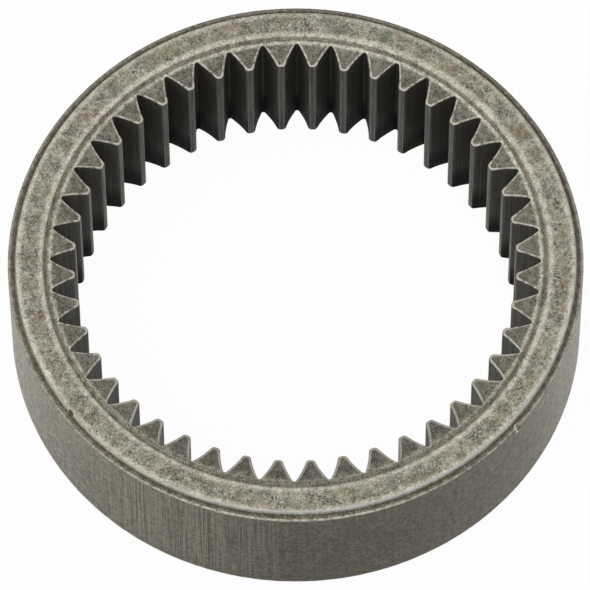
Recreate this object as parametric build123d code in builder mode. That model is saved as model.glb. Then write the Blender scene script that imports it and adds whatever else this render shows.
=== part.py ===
"""Internal ring gear of a small planetary drive, pressed and sintered in one piece.

The ring has straight involute teeth on its inside. Both rim faces are raised bands that stand
inside a narrow press ledge, with a shallow groove between the band and the roots of the teeth.
The gear stands on its lower band: the origin is the centre of that face, and +Z is the axis of
the teeth. A tooth space is centred on +X. Lengths are in millimetres and angles in degrees.
"""

import math
import os

from build123d import *

# ---- Teeth ----
TOOTH_COUNT = 44
MODULE = 1.25  # pitch diameter over the number of teeth
PRESSURE_ANGLE = 25.0
ADDENDUM = 1.10 * MODULE  # pitch circle to tooth tip
DEDENDUM = 1.23 * MODULE  # pitch circle to the bottom of a space
ROOT_ROUND = 0.20 * MODULE  # radius that fills the bottom of each space
TIP_ROUND = 0.45  # radius of the two corners of each tip
FLANK_POINTS = 4  # with the end directions, these hold the involute to less than a micrometre

# ---- Rim ----
RIM_WALL = 5.05  # root of the teeth to the outside of the ring
WALL_HEIGHT = 16.63  # outer wall between its two corners
LEDGE_WIDTH = 0.80  # press ledge round each end
STEP_LEAN = 0.14  # how far the step between ledge and band leans in
TOP_STEP = 0.65  # height of the upper band above its ledge
BOTTOM_STEP = 0.28  # the same below
BAND_INSET = 0.90  # root of the teeth to the inner edge of the band
OUTER_SHOULDER = 0.20  # edge break on the outer edge of a band
INNER_SHOULDER = 0.12  # the same on its inner edge

# ---- Ends of the teeth ----
ROOT_SINK = 0.20  # how far the roots lie below the band
TOP_RELIEF = 0.46  # fall from root to tip at the upper end
BOTTOM_RELIEF = 0.62  # the same at the lower end
GROOVE_WIDTH = 0.50  # between the band and the ridge beside the roots
GROOVE_DEPTH = 0.34  # below the band
GROOVE_FLOOR = 0.12  # width of the flat at the bottom of the groove
RIDGE_SINK = 0.10  # how far the ridge lies below the band

# ---- Damage at the upper end: directions are seen from the axis ----
DENT_DIRECTION = -39.5  # pressed into the outer wall at its corner
DENT_RADIUS = 0.90
DENT_DEPTH = 0.22
DENT_DROP = 0.35  # its middle, below the corner
NICK_DIRECTION = -142.1  # knocked out of the band's outer edge
NICK_RADIUS = 0.45
NICK_DEPTH = 0.22

# ---- Sizes that follow ----
pitch_radius = MODULE * TOOTH_COUNT / 2
tip_radius = pitch_radius - ADDENDUM
root_radius = pitch_radius + DEDENDUM
base_radius = pitch_radius * math.cos(math.radians(PRESSURE_ANGLE))
half_pitch = math.pi / TOOTH_COUNT  # middle of a space to middle of a tooth, in radians
outer_radius = root_radius + RIM_WALL
band_inner = root_radius + BAND_INSET
band_outer = outer_radius - LEDGE_WIDTH - STEP_LEAN
wall_top = BOTTOM_STEP + WALL_HEIGHT
overall_height = wall_top + TOP_STEP
blank_bore = tip_radius - MODULE  # the hollow is cut wider than this


def polar(radius, angle):
    """Point in the plane of the teeth, from a radius and an angle in radians."""
    return (radius * math.cos(angle), radius * math.sin(angle))


def flank_slope(radius):
    """Pressure angle of the flank at a radius, in radians."""
    return math.acos(base_radius / radius)


def involute(angle):
    """Involute function of an angle in radians."""
    return math.tan(angle) - angle


# The round at the bottom of a space touches both flanks and the root circle. To set an involute
# off sideways is to turn it about the axis, so the round alone says how far apart the flanks are.
root_centre = root_radius - ROOT_ROUND
half_space_at_base = ROOT_ROUND / base_radius + involute(flank_slope(root_centre))


def flank_angle(radius):
    """Angle from the middle of a space to its flank at a radius, in radians."""
    return half_space_at_base - involute(flank_slope(radius))


# Where the round at the bottom of a space ends and the flank begins
root_slope = flank_slope(root_centre)
flank_outer = (
    root_centre + ROOT_ROUND * math.sin(root_slope),
    ROOT_ROUND * math.cos(root_slope),
)

# Where the flank ends and the corner of the tip begins; half the tip's width limits the corner
half_tip = tip_radius * (half_pitch - flank_angle(tip_radius))
widest_corner = half_tip * math.tan(math.pi / 4 + flank_slope(tip_radius) / 2)
tip_round = min(TIP_ROUND, 0.9 * widest_corner)
corner_radius = tip_radius + tip_round
corner_angle = flank_angle(corner_radius) + tip_round / base_radius
corner_turn = corner_angle - flank_slope(corner_radius)
flank_inner = (
    corner_radius * math.cos(corner_angle) + tip_round * math.sin(corner_turn),
    corner_radius * math.sin(corner_angle) - tip_round * math.cos(corner_turn),
)


def end_section(face, out, step, relief):
    """Corners of one end of the ring from the bore to the outer wall, as (radius, height).

    face is the height of the band, out is +1 for the upper end and -1 for the lower one, step is
    the height of the band over its ledge and relief is the fall of the teeth from root to tip.
    """
    groove_floor = band_inner - (GROOVE_WIDTH - GROOVE_FLOOR) / 2
    bore_sink = ROOT_SINK + relief * (root_radius - blank_bore) / (root_radius - tip_radius)
    return [
        (blank_bore, face - out * bore_sink),
        (root_radius, face - out * ROOT_SINK),
        (band_inner - GROOVE_WIDTH, face - out * RIDGE_SINK),
        (groove_floor - GROOVE_FLOOR, face - out * GROOVE_DEPTH),
        (groove_floor, face - out * GROOVE_DEPTH),
        (band_inner, face),
        (band_outer, face),
        (outer_radius - LEDGE_WIDTH, face - out * step),
        (outer_radius, face - out * step),
    ]


# One tooth space and the tip beside it, with the space centred on +X
with BuildLine() as tooth_pitch:
    outer_end, inner_end = math.hypot(*flank_outer), math.hypot(*flank_inner)
    radii = [
        outer_end + (inner_end - outer_end) * i / (FLANK_POINTS - 1) for i in range(FLANK_POINTS)
    ]
    flank = Spline(
        *[polar(radius, flank_angle(radius)) for radius in radii],
        tangents=[polar(-1, -root_slope), polar(-1, corner_turn)],
    )
    TangentArc(flank @ 1, polar(tip_radius, corner_angle), tangent=flank % 1)
    mirror(about=Plane.XZ)
    ThreePointArc(flank @ 0, (root_radius, 0), (flank_outer[0], -flank_outer[1]))
    ThreePointArc(
        polar(tip_radius, corner_angle),
        polar(tip_radius, half_pitch),
        polar(tip_radius, 2 * half_pitch - corner_angle),
    )

with BuildPart() as ring_gear:
    # Turned form of the blank
    with BuildSketch(Plane.XZ) as section:
        with BuildLine():
            upper_end = end_section(overall_height, 1, TOP_STEP, TOP_RELIEF)
            lower_end = end_section(0, -1, BOTTOM_STEP, BOTTOM_RELIEF)
            Polyline(*lower_end, *reversed(upper_end), close=True)
        make_face()
        for shoulder, size in ((0, INNER_SHOULDER), (-1, OUTER_SHOULDER)):
            levels = section.vertices().group_by(Axis.Y)
            chamfer([levels[end].sort_by(Axis.X)[shoulder] for end in (0, -1)], size)
    revolve(axis=Axis.Z)

    # Hollow with the tooth spaces
    with BuildSketch():
        with BuildLine():
            for place in PolarLocations(0, TOOTH_COUNT):
                add(tooth_pitch.line.moved(place))
        make_face()
    extrude(amount=overall_height, mode=Mode.SUBTRACT)

    # Damage at the upper end
    dent_reach = outer_radius + DENT_RADIUS - DENT_DEPTH
    nick_reach = (NICK_RADIUS - NICK_DEPTH) / math.sqrt(2)
    for direction, reach, height, radius in (
        (DENT_DIRECTION, dent_reach, wall_top - DENT_DROP, DENT_RADIUS),
        (NICK_DIRECTION, band_outer + nick_reach, overall_height + nick_reach, NICK_RADIUS),
    ):
        with Locations((*polar(reach, math.radians(direction)), height)):
            Sphere(radius, mode=Mode.SUBTRACT)

ring_gear.part.label = "ring_gear"

os.makedirs("parts", exist_ok=True)
export_step(ring_gear.part, "parts/ring_gear.step")
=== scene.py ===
"""Looks of a small internal ring gear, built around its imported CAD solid.

The gear is one piece of pressed and sintered steel. One pitch of it, a tooth space with half a
tooth on each side, is built as a mesh from the form of the tooth and the section of the rim. A
Geometry Nodes tree sets it round the axis, joins the copies and roughens what the press left
rough. The damage at the upper end is worked in after that. Each part of the surface has a finish
of its own, and the finishes share a few shader groups.

Forms are in millimetres and radians, in the frame of the CAD model. Meshes are in metres.
"""

import logging
import math
from dataclasses import dataclass, field
from enum import Enum
from typing import Any, ClassVar, NamedTuple

import bmesh
import bpy
import numpy as np
from mathutils import Matrix, Vector


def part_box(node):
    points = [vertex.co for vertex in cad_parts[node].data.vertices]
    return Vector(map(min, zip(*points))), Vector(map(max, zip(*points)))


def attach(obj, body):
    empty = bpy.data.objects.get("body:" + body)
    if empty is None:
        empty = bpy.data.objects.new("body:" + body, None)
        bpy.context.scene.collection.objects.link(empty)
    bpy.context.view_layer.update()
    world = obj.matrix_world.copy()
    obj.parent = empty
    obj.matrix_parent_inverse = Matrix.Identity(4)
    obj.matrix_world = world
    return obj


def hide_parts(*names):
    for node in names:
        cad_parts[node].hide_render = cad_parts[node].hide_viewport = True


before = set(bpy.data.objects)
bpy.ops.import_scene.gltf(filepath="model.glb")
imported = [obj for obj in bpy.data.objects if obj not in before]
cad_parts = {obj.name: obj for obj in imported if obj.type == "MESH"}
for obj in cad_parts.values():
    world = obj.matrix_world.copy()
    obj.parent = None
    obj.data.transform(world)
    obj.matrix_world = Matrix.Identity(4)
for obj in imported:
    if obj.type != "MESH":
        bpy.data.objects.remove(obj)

LOG = logging.getLogger("ring_gear")
MM = 0.001

Socket = bpy.types.NodeSocket
NUMBER = "NodeSocketFloat"
VECTOR = "NodeSocketVector"
Colour = tuple[float, float, float, float]
Polar = tuple[np.ndarray, np.ndarray]  # radii and angles
ORIGIN = (0.0, 0.0, 0.0)


def steel(red: int, green: int, blue: int) -> Colour:
    """Turns a colour on the usual scale of 0 to 255 into the linear one that shaders take.

    Args:
        red: Share of red.
        green: Share of green.
        blue: Share of blue.

    Returns:
        The linear colour, opaque.
    """

    def linear(share: int) -> float:
        """Linear value of one share."""
        value = share / 255
        return value / 12.92 if value <= 0.04045 else ((value + 0.055) / 1.055) ** 2.4

    return (linear(red), linear(green), linear(blue), 1.0)


def stand(name: str, data: Any) -> bpy.types.Object:
    """Makes an object and puts it in the scene.

    Args:
        name: Its name.
        data: Mesh, lamp or camera.

    Returns:
        The object.
    """
    made = bpy.data.objects.new(name, data)
    bpy.context.scene.collection.objects.link(made)
    return made


def emptied(owner: Any) -> bpy.types.NodeTree:
    """Gives a material or a world an empty tree.

    Args:
        owner: The material or the world.

    Returns:
        The tree.
    """
    owner.use_nodes = True
    owner.node_tree.nodes.clear()
    return owner.node_tree


class Zone(Enum):
    """Parts of the surface that the press, the die and use have left with a look of their own."""

    PRESSED_FACE = 0
    TOOTH_END = 1
    GROOVE = 2
    LEDGE = 3
    OUTER_WALL = 4
    FLANK = 5
    TIP_LAND = 6


@dataclass(frozen=True)
class Punch:
    """Upper punch of the press, which stood a little to one side of the die.

    Fields:
        side: Side that it stood to, in degrees from +X towards +Y.
        shift: How far it stood to that side.
        growth: How much its outer edge had grown with wear.
    """

    side: float = 55.0
    shift: float = 0.06
    growth: float = 0.035


PUNCH = Punch()


# ---------------------------------------------------------------- nodes


class Bench:
    """Adds nodes to one tree and joins them."""

    def __init__(self, tree: bpy.types.NodeTree) -> None:
        """Keeps the shader or geometry tree that is worked on."""
        self.tree = tree

    def feed(self, socket: Socket, value: Any) -> None:
        """Joins a socket to another one, or sets it to a constant.

        Args:
            socket: The input.
            value: An output, a number, a vector or a colour.
        """
        if isinstance(value, Socket):
            self.tree.links.new(value, socket)
        else:
            socket.default_value = value

    def add(
        self, kind: str, inputs: dict[str, Any] | None = None, **settings: Any
    ) -> bpy.types.Node:
        """Adds one node.

        Args:
            kind: Blender's name of the node type.
            inputs: What each input gets, by the input's name.
            settings: The node's own settings.

        Returns:
            The node.
        """
        node = self.tree.nodes.new(kind)
        for name, value in settings.items():
            setattr(node, name, value)
        for name, value in (inputs or {}).items():
            self.feed(node.inputs[name], value)
        return node

    @staticmethod
    def at(sockets: Any, identifier: str) -> Socket:
        """Finds a socket by its own mark, where several have the same name."""
        return next(socket for socket in sockets if socket.identifier == identifier)

    def work(self, kind: str, operation: str, *terms: Any) -> bpy.types.Node:
        """Adds a node that works out one sum.

        Args:
            kind: Blender's name of the node type.
            operation: Blender's name of the operation.
            terms: Outputs, numbers or vectors.

        Returns:
            The node.
        """
        node = self.add(kind, operation=operation)
        for socket, term in zip(node.inputs, terms):
            self.feed(socket, term)
        return node

    def math(self, operation: str, *terms: Any) -> Socket:
        """Works out one sum of numbers."""
        return self.work("ShaderNodeMath", operation, *terms).outputs[0]

    def times(self, first: Any, second: Any) -> Socket:
        """Product of two numbers."""
        return self.math("MULTIPLY", first, second)

    def plus(self, first: Any, second: Any) -> Socket:
        """Sum of two numbers."""
        return self.math("ADD", first, second)

    def minus(self, first: Any, second: Any) -> Socket:
        """First number less the second."""
        return self.math("SUBTRACT", first, second)

    def times_plus(self, first: Any, second: Any, third: Any) -> Socket:
        """Product of the first two numbers, plus the third."""
        return self.math("MULTIPLY_ADD", first, second, third)

    def most(self, first: Any, second: Any) -> Socket:
        """Larger one of two numbers."""
        return self.math("MAXIMUM", first, second)

    def vector(self, operation: str, *terms: Any) -> Socket:
        """Works out one sum of vectors."""
        return self.work("ShaderNodeVectorMath", operation, *terms).outputs["Vector"]

    def scaled(self, place: Socket, factor: Any) -> Socket:
        """Multiplies a vector by a number."""
        inputs = {"Vector": place, "Scale": factor}
        return self.add("ShaderNodeVectorMath", inputs, operation="SCALE").outputs["Vector"]

    def rise(self, value: Socket, start: Any, end: Any, low: Any = 0.0, high: Any = 1.0) -> Socket:
        """Turns a value smoothly from low at start to high at end. Start may be above end.

        Args:
            value: What is looked at.
            start: Where the turn starts.
            end: Where it ends.
            low: Result before the start.
            high: Result after the end.

        Returns:
            The turned value.
        """
        inputs = {"Value": value, "From Min": start, "From Max": end, "To Min": low, "To Max": high}
        node = self.add("ShaderNodeMapRange", inputs, interpolation_type="SMOOTHSTEP")
        return node.outputs["Result"]

    def toward(self, direction: Socket, degrees: float) -> Socket:
        """Gives 1 on one side of the ring, 0 a quarter turn from it and -1 opposite."""
        side = (math.cos(math.radians(degrees)), math.sin(math.radians(degrees)), 0.0)
        return self.work("ShaderNodeVectorMath", "DOT_PRODUCT", direction, side).outputs["Value"]

    def hump(self, value: Socket, middle: float, reach: float) -> Socket:
        """Gives 1 in the middle of a stretch and falls smoothly to 0 a reach away from it."""
        distance = self.math("ABSOLUTE", self.minus(value, middle))
        return self.rise(distance, reach, 0.0)

    def blend(self, share: Any, first: Any, second: Any) -> Socket:
        """Mixes two colours.

        Args:
            share: Share of the second colour.
            first: Colour at 0.
            second: Colour at 1.

        Returns:
            The mixed colour.
        """
        node = self.add("ShaderNodeMix", data_type="RGBA")
        for identifier, value in (("Factor_Float", share), ("A_Color", first), ("B_Color", second)):
            self.feed(self.at(node.inputs, identifier), value)
        return self.at(node.outputs, "Result_Color")

    def noise(
        self,
        place: Socket,
        size: Any,
        seed: float,
        detail: float = 2.0,
        rough: float = 0.5,
        twist: float = 0.0,
    ) -> Socket:
        """Makes soft random patches.

        Args:
            place: Place on the surface.
            size: Size of a patch, in the unit of the place.
            seed: Picks one of the patterns.
            detail: How many finer layers are added.
            rough: How strong the finer layers are.
            twist: How far the patches are drawn out and bent.

        Returns:
            A value that is mostly from 0.3 to 0.7.
        """
        inputs = {
            "Vector": place,
            "W": seed,
            "Scale": self.math("DIVIDE", 1.0, size),
            "Detail": detail,
            "Roughness": rough,
            "Distortion": twist,
        }
        return self.add("ShaderNodeTexNoise", inputs, noise_dimensions="4D").outputs[0]

    def own(self, name: str) -> Socket:
        """Reads an attribute of the mesh in a material."""
        return self.add("ShaderNodeAttribute", attribute_name=name).outputs["Fac"]

    def named(self, name: str, kind: str) -> Socket:
        """Reads an attribute of the mesh in a geometry tree."""
        node = self.add("GeometryNodeInputNamedAttribute", {"Name": name}, data_type=kind)
        return node.outputs["Attribute"]


# ---------------------------------------------------------------- shader groups


class Ramp(NamedTuple):
    """Smooth turn from low to high while something goes from start to end."""

    start: float
    end: float
    low: float = 0.0
    high: float = 1.0


class SurfaceGroup:
    """Base of the shader groups that the finishes share."""

    name: ClassVar[str]
    inputs: ClassVar[dict[str, Any]] = {}
    outputs: ClassVar[dict[str, str]]

    @classmethod
    def fill(cls, bench: Bench, given: Any, out: Any) -> None:
        """Builds the group in its tree, between what it is given and what it puts out."""
        raise NotImplementedError

    @classmethod
    def tree(cls) -> bpy.types.NodeTree:
        """Gives the group's tree, and makes it on first use.

        Returns:
            The tree.
        """
        made = bpy.data.node_groups.get(cls.name)
        if made:
            return made
        made = bpy.data.node_groups.new(cls.name, "ShaderNodeTree")
        for label, value in cls.inputs.items():
            kind = VECTOR if isinstance(value, tuple) else NUMBER
            socket = made.interface.new_socket(label, in_out="INPUT", socket_type=kind)
            socket.default_value = value
        for label, kind in cls.outputs.items():
            made.interface.new_socket(label, in_out="OUTPUT", socket_type=kind)
        bench = Bench(made)
        given = bench.add("NodeGroupInput").outputs
        out = bench.add("NodeGroupOutput").inputs
        cls.fill(bench, given, out)
        return made

    @classmethod
    def put(cls, bench: Bench, **values: Any) -> Any:
        """Places the group in a material.

        Args:
            bench: The material's tree.
            values: What the inputs get, by name, with _ for a space.

        Returns:
            The outputs, by name.
        """
        node = bench.add("ShaderNodeGroup", node_tree=cls.tree())
        for name, value in values.items():
            bench.feed(node.inputs[name.replace("_", " ")], value)
        return node.outputs


class RingPlace(SurfaceGroup):
    """Where a point is on the ring, in millimetres, and its direction from the axis."""

    name = "ring_place"
    outputs = {
        "Place": VECTOR,
        "Radius": NUMBER,
        "Punched": NUMBER,
        "Height": NUMBER,
        "Direction": VECTOR,
    }

    @classmethod
    def fill(cls, bench: Bench, given: Any, out: Any) -> None:
        """Scales the object's coordinates and takes the distances from the axis and the punch."""
        place = bench.scaled(bench.add("ShaderNodeTexCoord").outputs["Object"], 1 / MM)
        flat = bench.vector("MULTIPLY", place, (1.0, 1.0, 0.0))
        length = bench.work("ShaderNodeVectorMath", "LENGTH", flat)
        parts = bench.add("ShaderNodeSeparateXYZ", {"Vector": place})
        direction, radius = bench.vector("NORMALIZE", flat), length.outputs["Value"]
        side = bench.toward(direction, PUNCH.side)
        offset = bench.times_plus(side, PUNCH.shift, PUNCH.growth)
        bench.feed(out["Place"], place)
        bench.feed(out["Radius"], radius)
        bench.feed(out["Punched"], bench.minus(radius, offset))
        bench.feed(out["Height"], parts.outputs["Z"])
        bench.feed(out["Direction"], direction)


class SinteredGrain(SurfaceGroup):
    """Mottled patches, grains, specks and pores of pressed and sintered powder."""

    name = "sintered_grain"
    inputs = {"Place": ORIGIN, "Patch Size": 0.8, "Grain Size": 0.22}
    outputs = dict.fromkeys(("Tone", "Tint", "Glints", "Relief"), NUMBER)
    patch_contrast: ClassVar[Ramp] = Ramp(0.37, 0.63)
    patch_share: ClassVar[float] = 0.30
    contrast: ClassVar[Ramp] = Ramp(0.38, 0.62)
    grain_share: ClassVar[float] = 0.34
    speck_share: ClassVar[float] = 0.26
    stroke_share: ClassVar[float] = 0.24
    surplus: ClassVar[float] = 0.07
    tint_contrast: ClassVar[Ramp] = Ramp(0.35, 0.65)
    glinting: ClassVar[Ramp] = Ramp(0.66, 0.76)
    pored: ClassVar[Ramp] = Ramp(0.36, 0.28)
    pore_depth: ClassVar[float] = 0.5

    @classmethod
    def fill(cls, bench: Bench, given: Any, out: Any) -> None:
        """Layers noise of the two sizes that the group is given."""
        place, patch, grain = given["Place"], given["Patch Size"], given["Grain Size"]
        patches = bench.rise(bench.noise(place, patch, 1.7, 3.0, 0.6), *cls.patch_contrast)
        tint = bench.noise(place, bench.times(patch, 1.8), 5.2, 2.0, 0.5)
        grains = bench.noise(place, grain, 8.4, 2.0, 0.6, twist=0.9)
        grains = bench.times(bench.rise(grains, *cls.contrast), cls.grain_share)
        strokes = cls.strokes(bench, place, bench.times(grain, 0.55))
        specks = bench.noise(place, bench.times(grain, 0.5), 12.9, 1.0, 0.5)
        single = bench.noise(place, bench.times(grain, 0.9), 17.3, 1.0, 0.5)
        tone = bench.times_plus(patches, cls.patch_share, grains)
        tone = bench.times_plus(bench.rise(specks, *cls.contrast), cls.speck_share, tone)
        tone = bench.times_plus(strokes, cls.stroke_share, bench.minus(tone, cls.surplus))
        pores = bench.rise(single, *cls.pored)
        relief = bench.minus(tone, bench.times(pores, cls.pore_depth))
        bench.feed(out["Tone"], tone)
        bench.feed(out["Tint"], bench.rise(tint, *cls.tint_contrast))
        bench.feed(out["Glints"], bench.rise(single, *cls.glinting))
        bench.feed(out["Relief"], relief)

    @staticmethod
    def strokes(bench: Bench, place: Socket, width: Socket) -> Socket:
        """Draws short strokes that cross each other in three directions.

        Args:
            bench: The group's tree.
            place: Place on the ring in millimetres.
            width: Width of a stroke in millimetres.

        Returns:
            The strokes, from 0 to 1.
        """
        total: Any = 0.0
        for seed, turn in ((81.0, 0.3), (87.0, 1.4), (93.0, 2.4)):
            turning = {"Vector": place, "Angle": turn}
            turned = bench.add("ShaderNodeVectorRotate", turning, rotation_type="Z_AXIS").outputs[0]
            long = bench.vector("MULTIPLY", turned, (0.22, 1.0, 1.0))
            stroke = bench.rise(bench.noise(long, width, seed, 1.0, 0.5), 0.36, 0.64)
            total = bench.times_plus(stroke, 1 / 3, total)
        return bench.rise(total, 0.22, 0.78)


class WornEdge(SurfaceGroup):
    """Bare bright metal where an edge was rubbed or a blow raised a lip, read from the mesh, and
    the painted shade in the hollows of blows.
    """

    name = "worn_edge"
    inputs = {"Place": ORIGIN, "Amount": 1.0, "Breaks": 0.3, "Break Size": 0.5}
    outputs = {"Mask": NUMBER, "Blow Shade": NUMBER}
    unbroken: ClassVar[Ramp] = Ramp(0.41, 0.56)

    @classmethod
    def fill(cls, bench: Bench, given: Any, out: Any) -> None:
        """Breaks the wear up with noise, keeps the lips whole and passes on the painted shade of
        the blows.
        """
        breaks = bench.noise(given["Place"], given["Break Size"], 23.1, 3.0, 0.65)
        whole = bench.rise(breaks, *cls.unbroken)
        kept = bench.minus(1.0, given["Breaks"])
        share = bench.times_plus(whole, given["Breaks"], kept)
        mask = bench.times(bench.times(bench.own("edge_wear"), share), given["Amount"])
        bench.feed(out["Mask"], bench.most(mask, bench.own("lip")))
        bench.feed(out["Blow Shade"], bench.own("blow_shade"))


class DieMarks(SurfaceGroup):
    """Fine lines that the die drew along the axis when the blank was pushed out of it."""

    name = "die_marks"
    inputs = {"Place": ORIGIN, "Line Width": 0.12, "Line Length": 9.0}
    outputs = dict.fromkeys(("Lines", "Bright", "Dark", "Strength"), NUMBER)

    @classmethod
    def fill(cls, bench: Bench, given: Any, out: Any) -> None:
        """Stretches noise along the axis, in three widths, and fades it in patches."""
        squeeze = bench.math("DIVIDE", given["Line Width"], given["Line Length"])
        stretch = bench.add("ShaderNodeCombineXYZ", {"X": 1.0, "Y": 1.0, "Z": squeeze}).outputs[0]
        along = bench.vector("MULTIPLY", given["Place"], stretch)
        fine = bench.noise(along, given["Line Width"], 31.0, 2.0, 0.6)
        broad = bench.noise(along, bench.times(given["Line Width"], 4.0), 37.5, 3.0, 0.6)
        lines = bench.times_plus(fine, 0.9, bench.times(broad, 0.1))
        single = bench.noise(along, bench.times(given["Line Width"], 1.5), 43.3, 1.0, 0.5)
        strength = bench.noise(given["Place"], 9.0, 49.9, 2.0, 0.5)
        bench.feed(out["Lines"], bench.rise(lines, 0.36, 0.64))
        bench.feed(out["Bright"], bench.rise(single, 0.62, 0.74))
        bench.feed(out["Dark"], bench.rise(single, 0.37, 0.27))
        bench.feed(out["Strength"], bench.rise(strength, 0.36, 0.62))


# ---------------------------------------------------------------- finishes


class Lean(NamedTuple):
    """Ramp over the directions from the axis: 1 is on the side, in degrees, and -1 opposite."""

    side: float
    start: float
    end: float
    low: float = 0.0
    high: float = 1.0


class Waves(NamedTuple):
    """Noise that makes circles wavy: size and width in millimetres, and its finer layers."""

    size: float
    seed: float
    width: float
    detail: float = 3.0
    rough: float = 0.65


class Coat(Bench):
    """Tree of one material, with the place on the ring, the grain and the colour at hand."""

    def __init__(self, tree: bpy.types.NodeTree, patch_size: float, grain_size: float) -> None:
        """Puts in the groups that all finishes share.

        Args:
            tree: The material's tree.
            patch_size: Size of the grain's patches in millimetres.
            grain_size: Size of its grains in millimetres.
        """
        super().__init__(tree)
        self.ring = RingPlace.put(self)
        self.place = self.ring["Place"]
        sizes = {"Patch_Size": patch_size, "Grain_Size": grain_size}
        self.grain = SinteredGrain.put(self, Place=self.place, **sizes)
        self.tone = self.grain["Tone"]
        self.colour: Any = None

    def lay(self, share: Any, colour: Any) -> None:
        """Mixes a colour over what is there."""
        self.colour = self.blend(share, self.colour, colour)

    def side(self, degrees: float) -> Socket:
        """Tells how far the surface lies to one side of the ring, from 1 to -1."""
        return self.toward(self.ring["Direction"], degrees)

    def lean(self, lean: Lean) -> Socket:
        """Turns a value from low to high towards one side."""
        return self.rise(self.side(lean.side), *lean[1:])

    def marks(self, width: float, length: float) -> Any:
        """Draws the die's lines, with sizes in millimetres."""
        return DieMarks.put(self, Place=self.place, Line_Width=width, Line_Length=length)

    def worn(self, breaks: float, size: float = 0.5, amount: Any = 1.0) -> Any:
        """Rubs the edges by an amount, with breaks of a size in millimetres."""
        return WornEdge.put(self, Place=self.place, Amount=amount, Breaks=breaks, Break_Size=size)

    def swing(self, waves: Waves) -> Socket:
        """Wanders to both sides of zero, by half a width at the most."""
        wavy = self.noise(self.place, waves.size, waves.seed, waves.detail, waves.rough)
        return self.times_plus(wavy, waves.width, -waves.width / 2)


@dataclass(frozen=True)
class Finish:
    """A finish of the steel. Each kind of surface has its own, below."""

    name: str
    metal: float
    gloss: float = 0.5
    tint: Colour = (1.0, 1.0, 1.0, 1.0)
    patch_size: float = 0.8
    grain_size: float = 0.20
    depth: float = 0.03
    relief: float = 0.6
    # Painted shade in the hollow of a blow: a darker colour over the hollow, and the darkest one in
    # its middle.
    hollow_shade: Colour = steel(112, 109, 95)
    deepest_hollow_shade: Colour = steel(84, 80, 66)
    hollow_shading: Ramp = Ramp(0.04, 0.28)
    deepest_shading: Ramp = Ramp(0.40, 0.85)

    def material(self) -> bpy.types.Material:
        """Builds the material.

        Returns:
            The material, with its shader dressed.
        """
        made = bpy.data.materials.new(self.name)
        coat = Coat(emptied(made), self.patch_size, self.grain_size)
        rough, height = self.dress(coat)
        bump = {"Strength": self.relief, "Distance": self.depth * MM, "Height": height}
        looks = {
            "Metallic": self.metal,
            "Specular IOR Level": self.gloss,
            "Specular Tint": self.tint,
            "Base Color": coat.colour,
            "Roughness": rough,
            "Normal": coat.add("ShaderNodeBump", bump).outputs["Normal"],
        }
        shader = coat.add("ShaderNodeBsdfPrincipled", looks)
        coat.add("ShaderNodeOutputMaterial", {"Surface": shader.outputs["BSDF"]})
        return made

    def dress(self, coat: Coat) -> tuple[Socket, Socket]:
        """Lays the colours on the coat, and gives the surface's roughness and height."""
        raise NotImplementedError

    def strike(self, coat: Coat, blow_shade: Socket) -> None:
        """Paints shade in the hollow that a blow left, darkest in its middle."""
        deep_shade = coat.blend(coat.rise(blow_shade, *self.deepest_shading), self.hollow_shade, self.deepest_hollow_shade)
        coat.lay(coat.rise(blow_shade, *self.hollow_shading), deep_shade)


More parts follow.
